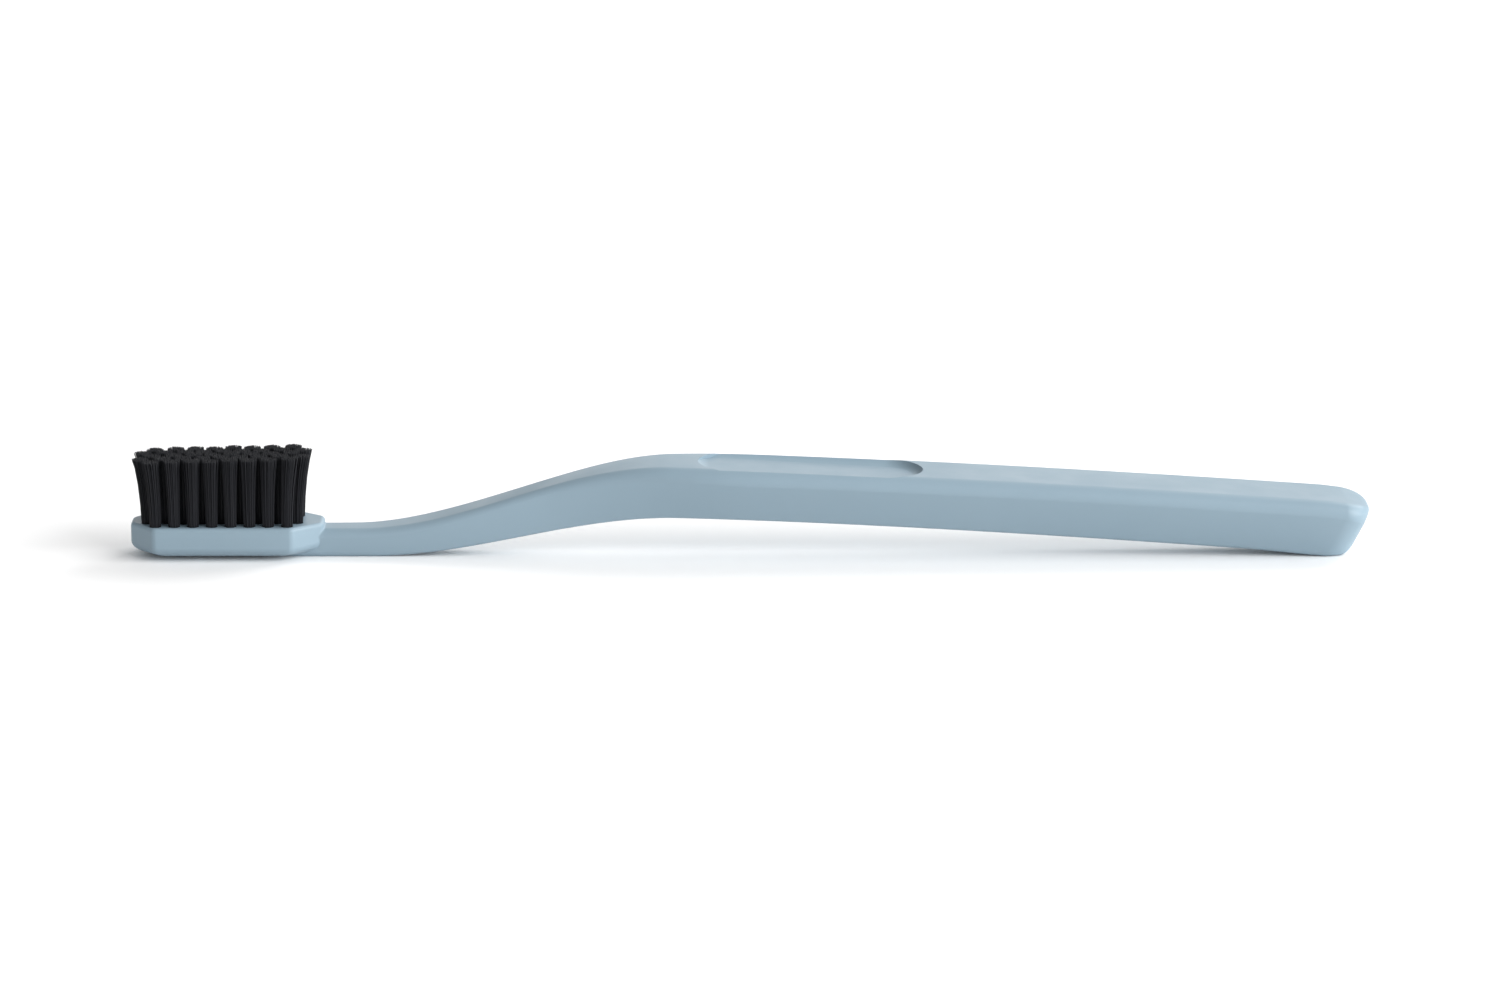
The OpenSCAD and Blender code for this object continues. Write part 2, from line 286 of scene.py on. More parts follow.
print("upper edge at the crest:", rounded(rib(crest_at)["upper edge"]))

# %% [markdown]
# The first rib comes from a circle turned upright. The handle is the same on both sides, so only half
# of the circle is kept.

# %% Half a circle
rib_steps = 32
tiny = 0.0001

bpy.ops.object.select_all(action="DESELECT")
bpy.ops.mesh.primitive_circle_add(
    vertices=rib_steps, radius=1, location=(tip_x + spine_at, 0, 0), rotation=(pi / 2, 0, pi / 2)
)
handle = bpy.context.object
handle.name = "handle_moulding"
settle(handle)
edit(handle)
found = select_at("VERT", lambda place: place.y < -tiny)
bpy.ops.mesh.delete(type="VERT")
print("vertices deleted:", found)

# %% [markdown]
# The vertices of the three rounded edges go into three vertex groups, and the flat top and base each
# get one vertex on the middle line. Extruded vertices inherit their groups, so every later rib can be
# reshaped by the same few names, with no need to know which vertex is which.

# %% Name the edges of the first rib
upper_edge_end = radians(-1)
side_edge_end = radians(-28)


def name_group(name):
    """Puts the selected vertices into a new vertex group."""
    bpy.context.edit_object.vertex_groups.new(name=name)
    bpy.ops.object.vertex_group_assign()


def selected_vertices():
    """The numbers of the vertices that are selected."""
    mesh = bmesh.from_edit_mesh(bpy.context.edit_object.data)
    return [vertex.index for vertex in mesh.verts if vertex.select]


select_at("VERT", lambda place: atan2(place.z, place.y) > upper_edge_end)
name_group("upper edge")
select_at("VERT", lambda place: side_edge_end < atan2(place.z, place.y) < upper_edge_end)
name_group("side edge")
select_at("VERT", lambda place: atan2(place.z, place.y) < side_edge_end)
name_group("lower edge")
for side, name in ((1, "top"), (-1, "base")):
    select_at("VERT", lambda place: place.y < tiny and place.z * side > 0)
    bpy.ops.mesh.extrude_vertices_move(TRANSFORM_OT_translate={"value": (0, -tiny, 0)})
    bpy.ops.object.vertex_group_remove_from(use_all_groups=True)
    name_group(name)
bpy.ops.mesh.select_all(action="SELECT")
first_rib = selected_vertices()
print("first rib:", len(first_rib), "vertices")

# %% [markdown]
# A rib is reshaped group by group. Each rounded edge is resized about its own centre, so that an arc
# stays an arc, and then moved out to its new place. The top and the base only move up or down.

# %% Reshape one rib
def select_group(numbers, name):
    """Selects those of the numbered vertices that are in one vertex group."""
    piece = bpy.context.edit_object
    group = piece.vertex_groups[name].index
    layer = bmesh.from_edit_mesh(piece.data).verts.layers.deform.active
    wanted = set(numbers)
    return select_where("VERT", lambda vertex: vertex.index in wanted and group in vertex[layer])


def reshape(numbers, old, new):
    """Moves and resizes the groups of one rib, from where they are to where they belong."""
    for name in round_edges:
        y, z, width, height = old[name]
        new_y, new_z, new_width, new_height = new[name]
        select_group(numbers, name)
        bpy.ops.transform.resize(
            value=(1, new_width / width, new_height / height), center_override=(new["x"], y, z)
        )
        bpy.ops.transform.translate(value=(0, new_y - y, new_z - z))
    for name in ("top", "base"):
        select_group(numbers, name)
        bpy.ops.transform.translate(value=(0, 0, new[name] - old[name]))


circle = {"x": tip_x + spine_at, "top": 1, "base": -1}
for name in round_edges:
    circle[name] = (0, 0, 1, 1)
reshape(first_rib, circle, rib(spine_at))
print("first rib's top and base:", rounded((rib(spine_at)["top"], rib(spine_at)["base"])))

# %% [markdown]
# Now the loft. Each rib is extruded straight along the handle from the one before, and reshaped.
# Separate rings could be bridged instead, but extruding keeps the groups and needs no bridge. The ribs
# stand closer together where the shape turns faster. Round the end of the grip they are closest, spaced
# as the points of a quarter circle are, and each is narrower than the one before.

# %% Extrude rib after rib
neck_ribs = 12
rise_ribs = 46
grip_ribs = 34
tail_ribs = 16


def extrude(x=0, y=0, z=0):
    """In edit mode, extrudes what is selected and moves the new part."""
    bpy.ops.mesh.extrude_region_move(TRANSFORM_OT_translate={"value": (x, y, z)})


stations = [(between(spine_at, base_rise_at, step / neck_ribs), 0) for step in range(neck_ribs)]
stations += [(between(base_rise_at, crest_at, step / rise_ribs), 0) for step in range(rise_ribs)]
stations += [(between(crest_at, tail_at, step / grip_ribs), 0) for step in range(grip_ribs)]
for step in range(tail_ribs + 1):
    turn = pi / 2 * step / tail_ribs
    stations.append((tail_at + tail_corner_r * sin(turn), tail_corner_r * (1 - cos(turn))))

ribs = [(first_rib, rib(spine_at))]
for at, narrowing in stations[1:]:
    numbers, old = ribs[-1]
    new = rib(at, narrowing)
    wanted = set(numbers)
    select_where("VERT", lambda vertex: vertex.index in wanted)
    extrude(x=new["x"] - old["x"])
    numbers = selected_vertices()
    reshape(numbers, old, new)
    ribs.append((numbers, new))
print("ribs:", len(ribs))

# %% [markdown]
# The end of the grip slopes under, like the stern of a boat. A shear would slope it in one go, but that
# operator needs a window. So the last ribs lean over, each a little more than the one before: below
# the level where the end starts, a rib is turned by part of the slope, and stretched back to its height.

# %% Lean the last ribs over
lean_l = 16
tail_draft = radians(22)
end_top_z = tail_h - tail_top_drop

leaning = 0
for numbers, shape in ribs:
    turn = atan(tan(tail_draft) * ease(shape["x"] - tip_x, tail_at - lean_l, tail_at))
    if turn > 0:
        wanted = set(numbers)
        select_where("VERT", lambda vertex: vertex.index in wanted and vertex.co.z < end_top_z)
        pivot = (shape["x"], 0, end_top_z)
        # With no window open this operator turns the other way, hence the minus
        bpy.ops.transform.rotate(value=-turn, orient_axis="Y", center_override=pivot)
        bpy.ops.transform.resize(value=(1 / cos(turn), 1, 1 / cos(turn)), center_override=pivot)
        leaning += 1
leave_edit()
print("ribs that lean:", leaning)

# %% [markdown]
# A Mirror modifier makes the other half and merges the vertices on the middle line. It is applied at
# once, because the steps that follow need a real mesh. Then each end gets one face, and all faces are
# made to point outwards, which an extruded skin doesn't promise.

# %% Mirror the half and close its ends
def apply_modifier(piece, kind, **settings):
    """Adds a modifier, sets it and applies it."""
    modifier = piece.modifiers.new(kind.title(), kind)
    for name, value in settings.items():
        setattr(modifier, name, value)
    alone(piece)
    bpy.ops.object.modifier_apply(modifier=modifier.name)


def face_outwards():
    """In edit mode, turns every face to the outside."""
    bpy.ops.mesh.select_all(action="SELECT")
    bpy.ops.mesh.normals_make_consistent(inside=False)


merge_within = 10 * tiny
apply_modifier(handle, "MIRROR", use_axis=(False, True, False), merge_threshold=merge_within)
edit(handle)
for end in (-1, 1):
    select_where("EDGE", lambda edge: edge.is_boundary and place_of(edge).x * end > 0)
    bpy.ops.mesh.edge_face_add()
face_outwards()
leave_edit()
print("shaft:", len(handle.data.polygons), "faces")

# %% [markdown]
# The head is a plate with a blunt tip and cut corners. Its outline could be drawn and extruded, but
# what the real one has is straight cuts, so it is made from a cube, and four bisects cut its corners
# off. Each bisect deletes what is outside its plane and fills the cut.

# %% Block of the head
tip_w = 3.5
tip_taper_l = 3.7
head_end_w = 4.5
head_taper_l = 4.7
belly_h = 2
head_x = tip_x + head_l / 2
belly_top = head_gap + belly_h

bpy.ops.object.select_all(action="DESELECT")
bpy.ops.mesh.primitive_cube_add(
    size=1, location=(head_x, 0, (belly_top + head_h) / 2), scale=(head_l, head_w, head_h - belly_top)
)
plate = bpy.context.object
settle(plate)
edit(plate)
corners = []
for end, end_w, taper_l in ((-1, tip_w, tip_taper_l), (1, head_end_w, head_taper_l)):
    taper_w = (head_w - end_w) / 2
    end_x = head_x + end * head_l / 2
    for side in (-1, 1):
        bpy.ops.mesh.select_all(action="SELECT")
        bpy.ops.mesh.bisect(
            plane_co=(end_x, side * end_w / 2, 0),
            plane_no=Vector((end * taper_w, side * taper_l, 0)).normalized(),
            use_fill=True,
            clear_outer=True,
        )
    blunt = atan2(taper_l, taper_w)
    corners.append((end_x, end_w / 2, blunt))
    corners.append((end_x - end * taper_l, head_w / 2, pi / 2 - blunt))
print("kinds of corner:", len(corners))

# %% [markdown]
# No edge of a real head is sharp, for the sake of the gums. Bevels round the upright corners first and
# then the rim round the face. A bevel's offset is measured along the face, so for a corner it is worked
# out from the wanted radius and from how far that corner turns.

# %% Round the corners and the rim of the head
head_corner_r = 1.3
head_edge_r = 0.6
corner_steps = 6
rim_steps = 5
near = 0.01


def bevel(offset, steps):
    """In edit mode, rounds the selected edges."""
    bpy.ops.mesh.bevel(offset=offset, segments=steps, affect="EDGES", clamp_overlap=False)


for x, y, turn in corners:
    found = select_at(
        "EDGE",
        lambda place: abs(place.x - x) < near
        and abs(abs(place.y) - y) < near
        and belly_top < place.z < head_h,
    )
    bevel(head_corner_r * tan(turn / 2), corner_steps)
    print("upright corners bevelled:", found)
found = select_at("EDGE", lambda place: place.z > head_h - tiny)
bevel(head_edge_r, rim_steps)
print("edges of the rim bevelled:", found)

# %% [markdown]
# The underside of the head is rounded like the bottom of a boat. One large bevel would run into itself
# at the short edges. So the lower face is extruded again and again, each time smaller and a little
# less deep, as the steps of a quarter circle are.

# %% Underside of the head
belly_in = 3.6
belly_steps = 9


def belly(step):
    """Height and plan scale of the underside at one step, from its widest down to its lowest."""
    turn = pi / 2 * (1 - step / belly_steps)
    drawn_in = belly_in * (1 - sin(turn))
    return head_gap + belly_h * (1 - cos(turn)), 1 - 2 * drawn_in / head_l, 1 - 2 * drawn_in / head_w


select_where("FACE", lambda face: face.normal.z < -1 + near)
for step in range(belly_steps):
    z, scale_x, scale_y = belly(step)
    new_z, new_scale_x, new_scale_y = belly(step + 1)
    extrude(z=new_z - z)
    bpy.ops.transform.resize(
        value=(new_scale_x / scale_x, new_scale_y / scale_y, 1), center_override=(head_x, 0, new_z)
    )
face_outwards()
leave_edit()
print("head plate:", len(plate.data.polygons), "faces")

# %% [markdown]
# One moulding has no seam between head and neck, so the two are joined with a Boolean union. The exact
# solver is slower than the fast one, but it leaves a closed skin, which the cuts that follow need.

# %% Join the head to the neck
def discard(piece):
    """Deletes a piece that has done its work, with its mesh."""
    mesh = piece.data
    bpy.data.objects.remove(piece)
    bpy.data.meshes.remove(mesh)


def combine(piece, tool, operation):
    """Joins a tool to a piece, or cuts or trims the piece with it, and deletes the tool."""
    apply_modifier(piece, "BOOLEAN", object=tool, operation=operation, solver="EXACT")
    discard(tool)
    print(piece.name, "after", operation.lower(), "has", len(piece.data.polygons), "faces")


combine(handle, plate, "UNION")

# %% [markdown]
# The union leaves a sharp line where the neck meets the end of the head. In the mould that line is a
# small round, which shows as a soft crease. Its edges are found by where they are and by the angle
# between their faces, which is negative where a surface folds inwards, and a bevel rounds them.

# %% Soften the joint
joint_r = 0.2
joint_steps = 3
joint_angle = radians(14)
joint_x = tip_x + head_l - head_taper_l

edit(handle)
found = select_where(
    "EDGE",
    lambda edge: joint_x < place_of(edge).x < joint_x + 2 * head_taper_l
    and place_of(edge).z > belly_top
    and edge.calc_face_angle_signed() < -joint_angle,
)
bevel(joint_r, joint_steps)
leave_edit()
print("edges of the joint:", found)

# %% [markdown]
# The thumb rest is a shallow hollow, round at both ends. Towards the grip it ends at its full depth.
# Towards the shoulder its floor curves up in a short ramp, so that the thumb slides in, and only a low
# lip is left round the nose. Faces of the handle could be pushed down for it, but they would drag the
# skin along. A Boolean cut leaves a clean rim, so the hollow's space is modelled as a solid.
#
# That solid starts as a cylinder of the hollow's width. A bisect leaves the half that makes the far
# end, and its flat side is extruded for the straight part.

# %% Body of the hollow
thumb_w = 11.8
thumb_floor_l = 32.9
thumb_cut_h = 2
thumb_round_steps = 96
straight_l = thumb_floor_l - thumb_w / 2

bpy.ops.object.select_all(action="DESELECT")
bpy.ops.mesh.primitive_cylinder_add(
    vertices=thumb_round_steps, radius=thumb_w / 2, depth=thumb_cut_h, location=(0, 0, thumb_cut_h / 2)
)
hollow = bpy.context.object
hollow.name = "thumb_hollow"
settle(hollow)
edit(hollow)
bpy.ops.mesh.select_all(action="SELECT")
bpy.ops.mesh.bisect(plane_co=(0, 0, 0), plane_no=(-1, 0, 0), use_fill=True, clear_outer=True)
found = select_where("FACE", lambda face: face.normal.x < -1 + near)
extrude(x=-straight_l)
print("flat sides extruded:", found)

# %% [markdown]
# The lower edge is bevelled for the fillet. Its radius is larger than the hollow is deep, so the wall
# is all curve and the shade at its end fades towards the floor. Then a spin bends the last face up for
# the ramp. An extrusion up a slope would leave a crease across the floor, and the real one has none.

# %% Fillet and ramp of the hollow
thumb_fillet_r = 1.7
thumb_fillet_steps = 10
thumb_ramp_r = 4
thumb_ramp_arc = radians(60)
thumb_ramp_steps = 24

found = select_at(
    "EDGE",
    lambda place: place.z < tiny and place.x > tiny - straight_l and max(abs(place.y), place.x) > near,
)
bevel(thumb_fillet_r, thumb_fillet_steps)
select_at("FACE", lambda place: place.x < tiny - straight_l)
bpy.ops.mesh.spin(
    steps=thumb_ramp_steps, angle=thumb_ramp_arc, center=(-straight_l, 0, thumb_ramp_r), axis=(0, -1, 0)
)
face_outwards()
leave_edit()
print("edges of the fillet bevelled:", found)

# %% [markdown]
# Seen from above, the ramp still ends square, and the real one ends in a round nose. So the hollow is
# intersected with a second shape, which has that nose and is a little wider than the hollow, so that
# it trims nothing else.

# %% Trim the nose of the hollow
thumb_l = 34.6
nose_room = 0.05
nose_h = 8
nose_x = thumb_w - thumb_l

bpy.ops.object.select_all(action="DESELECT")
bpy.ops.mesh.primitive_cylinder_add(
    vertices=thumb_round_steps, radius=thumb_w / 2 + nose_room, depth=nose_h, location=(nose_x, 0, 0)
)
nose = bpy.context.object
settle(nose)
edit(nose)
bpy.ops.mesh.select_all(action="SELECT")
bpy.ops.mesh.bisect(plane_co=(nose_x, 0, 0), plane_no=(1, 0, 0), use_fill=True, clear_outer=True)
select_where("FACE", lambda face: face.normal.x > 1 - near)
extrude(x=thumb_l)
leave_edit()
combine(hollow, nose, "INTERSECT")

# %% [markdown]
# The hollow was modelled level and round the origin, where its numbers are simple. Now its far end is
# moved to the origin, it is turned to the slope of the grip, and it is sunk into the top of the handle.

# %% Set the hollow in place and cut it
thumb_end_at = 121.6
thumb_depth = 1.05
thumb_slope = radians(3.2)
thumb_end = (tip_x + thumb_end_at, 0, top_z(thumb_end_at) - thumb_depth)

edit(hollow)
bpy.ops.mesh.select_all(action="SELECT")
bpy.ops.transform.translate(value=(-thumb_w / 2, 0, 0))
bpy.ops.transform.rotate(value=-thumb_slope, orient_axis="Y", center_override=(0, 0, 0))
bpy.ops.transform.translate(value=thumb_end)
leave_edit()
print("hollow from", rounded(hollow.bound_box[0]), "to", rounded(hollow.bound_box[6]))
combine(handle, hollow, "DIFFERENCE")

# %% [markdown]
# ## Where the tufts stand
# Each tuft has a blind hole in the head, in one of five rows. Each row is moved half a step along from
# its neighbour, so that the bristles close up. The places could be typed in, but the frame has them:
# an anchor lies across the middle of each hole, so the box of a row of anchors tells where its first
# and last holes are, and the steps between them are even.

# %% Places of the tufts
anchor_l = 2.1
tufts_in_row = {1: 8, 2: 9, 3: 8, 4: 9, 5: 8}

places = {}
for row, count in tufts_in_row.items():
    low, high = (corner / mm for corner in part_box(f"anchors_row{row}"))
    step = (high.x - low.x - anchor_l) / (count - 1)
    for number in range(count):
        x = low.x + anchor_l / 2 + step * number
        places[row, number + 1] = Vector((x, (low.y + high.y) / 2, head_h))
print("tufts:", len(places), "with the first at", rounded(places[1, 1]))

# %% [markdown]
# The hole is cut by a cylinder whose mouth is flared a little, because a moulded hole has a soft rim
# that catches the light. The cutter goes on well above the face, so that no thin skin is left there.

# %% Cutter for one hole
hole_r = 0.85
hole_depth = 3
hole_sides = 32
hole_rim = 0.1
cut_over = 2

bpy.ops.object.select_all(action="DESELECT")
bpy.ops.mesh.primitive_cylinder_add(
    vertices=hole_sides,
    radius=hole_r,
    depth=hole_depth - hole_rim,
    location=(0, 0, -(hole_depth + hole_rim) / 2),
)
cutter = bpy.context.object
settle(cutter)
edit(cutter)
select_where("FACE", lambda face: face.normal.z > 1 - near)
for grow, rise in (((hole_r + hole_rim) / hole_r, hole_rim), (1, cut_over)):
    extrude(z=rise)
    bpy.ops.transform.resize(value=(grow, grow, 1), center_override=(0, 0, 0))
print("mouth of the hole:", 2 * (hole_r + hole_rim), "mm across")

# %% [markdown]
# An anchor is longer than its hole is wide, so its two ends sit in notches in the wall. The notches are
# modelled on the cutter: two bisects mark a band at the anchor's height, and the faces at its two ends
# are extruded outwards.

# %% Notches for the anchor
anchor_t = 0.3
anchor_h = 1.5
clearance = 0.02
notch_reach = anchor_l / 2 + clearance
anchor_low_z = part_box("anchors_row1")[0].z / mm
notch_low = anchor_low_z - head_h - clearance
notch_high = notch_low + anchor_h + 2 * clearance

for level in (notch_low, notch_high):
    bpy.ops.mesh.select_all(action="SELECT")
    bpy.ops.mesh.bisect(plane_co=(0, 0, level), plane_no=(0, 0, 1))
for side in (-1, 1):
    found = select_at(
        "FACE",
        lambda place: notch_low < place.z < notch_high
        and place.x * side > 0
        and abs(place.y) < anchor_t / 2,
    )
    extrude(x=side * (notch_reach - hole_r))
leave_edit()
print("faces extruded for each notch:", found)

# %% [markdown]
# The cutter is copied to all 42 places. The copies are joined, and a single Boolean cuts all the holes,
# which is far quicker than 42 cuts in a row.

# %% Cut the holes
def copy_of(piece):
    """A copy of a piece with a mesh of its own."""
    alone(piece)
    bpy.ops.object.duplicate()
    return bpy.context.object


def join(pieces):
    """Joins pieces into the first of them."""
    alone(pieces[0])
    for piece in pieces:
        piece.select_set(True)
    bpy.ops.object.join()
    settle(pieces[0])
    return pieces[0]


cutters = []
for place in places.values():
    copy = copy_of(cutter)
    copy.location = place
    cutters.append(copy)
discard(cutter)
combine(handle, join(cutters), "DIFFERENCE")

# %% [markdown]
# Last comes the shading. The long flat faces of the handle should look flat and its rounded edges round,
# so smooth shading is limited by angle, and a Weighted Normal modifier lets the large faces decide which
# way the light bends at their borders. Then the handle stands for its part in the frame.

# %% Finish the handle
smooth_angle = radians(30)


def shrink(piece):
    """Turns a piece modelled in millimetres into one in metres."""
    piece.scale = (mm, mm, mm)
    settle(piece)


edit(handle)
bpy.ops.mesh.select_all(action="SELECT")
bpy.ops.mesh.remove_doubles(threshold=tiny)
leave_edit()
handle.vertex_groups.clear()
shrink(handle)
alone(handle)
bpy.ops.object.shade_smooth_by_angle(angle=smooth_angle)
apply_modifier(handle, "WEIGHTED_NORMAL", keep_sharp=True)
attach(handle, "root")
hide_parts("handle")
print("handle:", len(handle.data.polygons), "faces,", rounded(handle.dimensions, mm), "mm")

# %% [markdown]
# ## The bristles
# A tuft is a bundle of nylon filaments, folded in two round its anchor and pressed into its hole, so
# twice as many ends stand up as there are filaments. Blender's hair would draw them quickly, but the
# tufts have to be solid pieces. So one end is modelled, once: a thin prism with a few cuts along it,
# so that it can bend, and a tip that narrows, because bristles are polished after they are trimmed. Six
# sides are enough for something a sixth of a millimetre thick.

# %% One filament
bristle_l = 10.4
filament_d = 0.17
filament_sides = 6
filament_tip_h = 0.05
filament_tip_share = 0.55
filament_sink = 1.02
straight = filament_sink + bristle_l - filament_tip_h
# How far up each bend is, as a share of the length, and the bundle's radius there
bends = {0.08: 0.85, 0.3: 0.89, 0.6: 0.97, 0.84: 1.08}

bpy.ops.object.select_all(action="DESELECT")
bpy.ops.mesh.primitive_cylinder_add(
    vertices=filament_sides,
    radius=filament_d / 2,
    depth=straight,
    location=(0, 0, straight / 2 - filament_sink),
)
filament = bpy.context.object
settle(filament)
edit(filament)
for share in bends:
    bpy.ops.mesh.select_all(action="SELECT")
    bpy.ops.mesh.bisect(plane_co=(0, 0, share * bristle_l), plane_no=(0, 0, 1))
select_where("FACE", lambda face: face.normal.z > 1 - near)
extrude(z=filament_tip_h)
bpy.ops.transform.resize(value=(filament_tip_share, filament_tip_share, 1), center_override=(0, 0, 0))
leave_edit()
print("one filament:", len(filament.data.polygons), "faces")

# %% [markdown]
# The bundle is copies of the filament on a sunflower spiral, which fills a circle evenly without rows.
# The last ones all stand on the rim, so that the bundle is round. Each copy tilts outwards, and the tilt
# grows evenly from the middle to the rim, so neighbours stay neighbours up to the top.
#
# Two numbers are stored on every vertex for the material to read later: how far along its filament it
# is, and a tone that is the same all over one filament and differs from the next.

# %% The bundle
filament_count = 80
rim_count = 14
bundle_root_r = 0.75
bundle_top_r = 1.22
tilt_jitter = 0.006
height_jitter = 0.07
golden_turn = pi * (3 - sqrt(5))
bundle_seed = 7


def store(piece, name, values):
    """Stores one number for each vertex of a piece."""
    attribute = piece.data.attributes.new(name, "FLOAT", "POINT")
    attribute.data.foreach_set("value", values)


store(filament, "along", [max(0, vertex.co.z / bristle_l) for vertex in filament.data.vertices])
random.seed(bundle_seed)
copies = []
for number in range(filament_count):
    copy = copy_of(filament)
    store(copy, "tone", [random.random()] * len(copy.data.vertices))
    at_rim = number >= filament_count - rim_count
    spread = 1 if at_rim else sqrt((number + 0.5) / (filament_count - rim_count / 2))
    turn = number * golden_turn
    tilt = atan((bundle_top_r - bundle_root_r) * spread / bristle_l)
    copy.rotation_euler = (
        random.uniform(-tilt_jitter, tilt_jitter),
        tilt + random.uniform(-tilt_jitter, tilt_jitter),
        turn,
    )
    reach = bundle_root_r * spread
    copy.location = (reach * cos(turn), reach * sin(turn), random.uniform(-height_jitter, 0))
    copies.append(copy)
bundle = join(copies)
discard(filament)
print("bundle:", len(bundle.data.polygons), "faces")

# %% [markdown]
# Filaments don't stand as straight as rods. Just above the head the bundle springs apart to the width
# of its hole, for most of its height it spreads slowly, and near the top it fans out. So each level of
# cuts is resized to the radius that the bundle has there. A lattice could bend it too, but this keeps
# every level in hand.

# %% Shape the bundle
level_near = 0.15
filament_smooth_angle = radians(50)

edit(bundle)
for share, wanted_r in bends.items():
    select_at("VERT", lambda spot: abs(spot.z - share * bristle_l) < level_near)
    grow = wanted_r / between(bundle_root_r, bundle_top_r, share)
    bpy.ops.transform.resize(value=(grow, grow, 1), center_override=(0, 0, 0))
leave_edit()
alone(bundle)
bpy.ops.object.shade_smooth_by_angle(angle=filament_smooth_angle)
print("bundle:", rounded(bundle.dimensions), "mm")

# %% [markdown]
# Under the face of the head, where nothing shows, the fold of the bundle is one plain block: it fills
# the hole and has a slot for the anchor. Eighty bent filaments would cost thousands of faces that
# nobody sees. The filaments reach a little way into the block.

# %% The fold
fold_r = hole_r - clearance
fold_lap = 0.05
fold_top = -filament_sink + fold_lap
fold_h = hole_depth - clearance + fold_top
slot_t = anchor_t + 2 * clearance
fold_tone = 0.5

bpy.ops.object.select_all(action="DESELECT")
bpy.ops.mesh.primitive_cylinder_add(
    vertices=hole_sides, radius=fold_r, depth=fold_h, location=(0, 0, fold_top - fold_h / 2)
)
fold = bpy.context.object
fold.name = "fold"
settle(fold)
bpy.ops.object.select_all(action="DESELECT")
bpy.ops.mesh.primitive_cube_add(
    size=1, location=(0, 0, notch_low + anchor_h / 2), scale=(anchor_l + clearance, slot_t, anchor_h)
)
slot = bpy.context.object
settle(slot)
edit(slot)
select_where("FACE", lambda face: face.normal.z > 1 - near)
extrude(z=cut_over)
leave_edit()
combine(fold, slot, "DIFFERENCE")
store(fold, "along", [0] * len(fold.data.vertices))
store(fold, "tone", [fold_tone] * len(fold.data.vertices))

# %% [markdown]
# Now the 42 tufts. Each is a copy of the bundle, turned so that no two look alike, and then shaped in
# edit mode, one level at a time. The first and last tufts lean out, more and more towards their tops.
# The outer rows lean in a little. And each tuft's top is at the height that its own part in the frame
# was trimmed to, so the field of bristles isn't dead flat.

# %% The tufts
end_lean = 0.87
side_lean = 0.35
tuft_turn = 137.5
turns_in_row = 5
field_x = sum(place.x for place in places.values()) / len(places)
field_half_l = max(place.x for place in places.values()) - field_x
field_half_w = max(place.y for place in places.values())

tufts = []
for (row, number), place in places.items():
    tuft = copy_of(bundle)
    tuft.name = f"bristles_row{row}_no{number}"
    tuft.rotation_euler = (0, 0, radians(tuft_turn * (number + turns_in_row * row)))
    tuft.location = place
    settle(tuft)
    lean_x = end_lean * ((place.x - field_x) / field_half_l) ** 3
    lean_y = -side_lean * place.y / field_half_w
    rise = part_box(f"tuft_row{row}_no{number}")[1].z / mm - head_h - bristle_l
    edit(tuft)
    for share in (*bends, 1):
        level = head_h + share * bristle_l
        select_at("VERT", lambda spot: abs(spot.z - level) < level_near)
        bpy.ops.transform.translate(value=(lean_x * share**2, lean_y * share**2, rise if share == 1 else 0))
    leave_edit()
    base = copy_of(fold)
    base.location = place
    tuft = join([tuft, base])
    shrink(tuft)
    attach(tuft, "root")
    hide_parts(f"tuft_row{row}_no{number}")
    tufts.append(tuft)
discard(bundle)
discard(fold)
print("tufts:", len(tufts), "with", sum(len(tuft.data.polygons) for tuft in tufts), "faces")

# %% [markdown]
# ## Finishes
# No real surface is one flat colour. An image could show that, but it would have to be painted and
# wrapped round each piece, so the finishes are made of noise, which has the same grain all over. Each
# material is a small tree of nodes. Three helpers make the trees short to write. A Mix node has a set
# of sockets for each kind of value, under the same names, so those for colours are picked by number.

# %% Helpers for nodes
mix_inputs = (0, 6, 7)
mix_output = 2


def feed(tree, value, socket):
    """Links a socket to another node's output, or sets it to a plain value."""
    if isinstance(value, bpy.types.NodeSocket):
        tree.links.new(value, socket)
    else:
        socket.default_value = value


def node(tree, kind, settings=None, **inputs):
    """Adds a node, sets its properties, and sets or links its inputs."""
    made = tree.nodes.new(kind)
    for name, value in (settings or {}).items():
        setattr(made, name, value)
    for name, value in inputs.items():
        feed(tree, value, made.inputs[name.replace("_", " ")])
    return made


def mixed(tree, factor, first, second):
    """The mix of two colours by a factor."""
    mix = node(tree, "ShaderNodeMix", {"data_type": "RGBA"})
    for number, value in zip(mix_inputs, (factor, first, second)):
        feed(tree, value, mix.inputs[number])
    return mix.outputs[mix_output]


print("colour sockets of a Mix node: inputs", mix_inputs, "and output", mix_output)

# %% [markdown]
# One shader group serves all three materials. It takes a place on the surface and two colours, and
# gives back a colour that drifts between them, a roughness that varies as handling and moulding leave
# it, and a height for fine grain. Each material sets its own scales.

